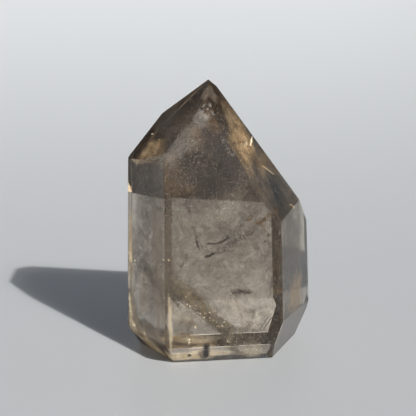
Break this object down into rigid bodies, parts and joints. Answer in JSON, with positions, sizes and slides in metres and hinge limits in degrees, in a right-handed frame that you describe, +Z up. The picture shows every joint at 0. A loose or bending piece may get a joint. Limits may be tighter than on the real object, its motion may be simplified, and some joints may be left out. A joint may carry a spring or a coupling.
{
  "type": "smoky quartz tower",
  "caption": "Free-standing polished smoky quartz tower: a chunky hexagonal crystal with an off-centre faceted point, chamfered foot and flat base, see-through grey-brown.",
  "frame": {"origin": "on the resting plane, under the middle of the crystal's bounding box", "axes": "+Z up along the crystal towards its point, the broad front face looks along -Y, +X to its right"},
  "size_m": [0.0482, 0.034, 0.07],
  "materials": {
    "smoky_quartz": "polished, clear grey-brown with veils and fine inclusions"
  },
  "bodies": {
    "root": {"crystal": "smoky_quartz"}
  },
  "joints": []
}
